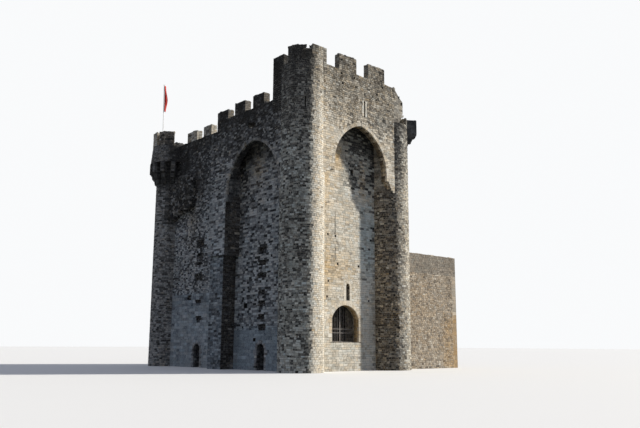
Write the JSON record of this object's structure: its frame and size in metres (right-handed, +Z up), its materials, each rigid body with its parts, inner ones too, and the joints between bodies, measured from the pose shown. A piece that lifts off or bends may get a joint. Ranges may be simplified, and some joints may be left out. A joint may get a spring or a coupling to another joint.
{
  "type": "castle keep",
  "caption": "Stone keep with round corner towers, great pointed arches that leave slots behind a crenellated wall walk, and an iron gate in an arched doorway.",
  "frame": {"origin": "middle of the keep's plan, on the base where its walls meet the lowest ground", "axes": "+Z up, +X to the right along the gate front, +Y from the gate front to the rear"},
  "size_m": [20.8, 23.607, 27.2546],
  "materials": {
    "stone_front": "sunlit cream limestone ashlar, weathered",
    "stone_side": "grey limestone ashlar and rubble, weathered",
    "stone_dark": "dark weathered limestone",
    "stone_restored": "warm rubble with a restored top",
    "iron": "painted wrought iron",
    "pole": "satin",
    "flag_cloth": "plain red cloth"
  },
  "bodies": {
    "keep": {"tower_front_left": "stone_front", "tower_front_right": "stone_front", "gate_arch": "stone_front", "gate_threshold": "stone_front", "front_wall_left": "stone_front", "front_wall_right": "stone_front", "front_wall_over_gate": "stone_front", "front_arch": "stone_front", "front_wall_over_arch": "stone_front", "front_parapet": "stone_front", "broken_front_end": "stone_front", "turret_parapet_front_left": "stone_front", "tower_crown_front_right": "stone_front", "pier_left": "stone_side", "pier_right": "stone_side", "left_wall_front_bay": "stone_side", "left_wall_rear_bay": "stone_side", "right_wall_front_bay": "stone_side", "right_wall_rear_bay": "stone_side", "rear_wall": "stone_side", "left_arch": "stone_side", "right_arch": "stone_side", "rear_arch": "stone_side", "left_parapet": "stone_side", "left_rear_parapet": "stone_side", "right_parapet": "stone_side", "right_rear_parapet": "stone_side", "rear_parapet": "stone_side", "tower_rear_right": "stone_side", "turret_head_rear_right": "stone_side", "turret_corbels_rear_right": "stone_side", "hall_floor": "stone_side", "hall_vault": "stone_side", "terrace": "stone_side", "tower_rear_left": "stone_dark", "turret_head_rear_left": "stone_dark", "turret_corbels_rear_left": "stone_dark", "box_front_right": "stone_dark", "box_corbels": "stone_dark", "side_wall": "stone_restored", "gate_pintles": "iron", "flagpole": "pole", "flag": "flag_cloth"},
    "leaf_left": {"gate_leaf_left": "iron"},
    "leaf_right": {"gate_leaf_right": "iron"}
  },
  "joints": [
    {"name": "gate_left_hinge", "type": "hinge", "parent": "keep", "child": "leaf_left", "pos_m": [-1.84, -9.195, 2.55], "axis": [0, 0, 1], "range_deg": [0, 90]},
    {"name": "gate_right_hinge", "type": "hinge", "parent": "keep", "child": "leaf_right", "pos_m": [1.36, -9.195, 2.55], "axis": [0, 0, -1], "range_deg": [0, 90]}
  ]
}
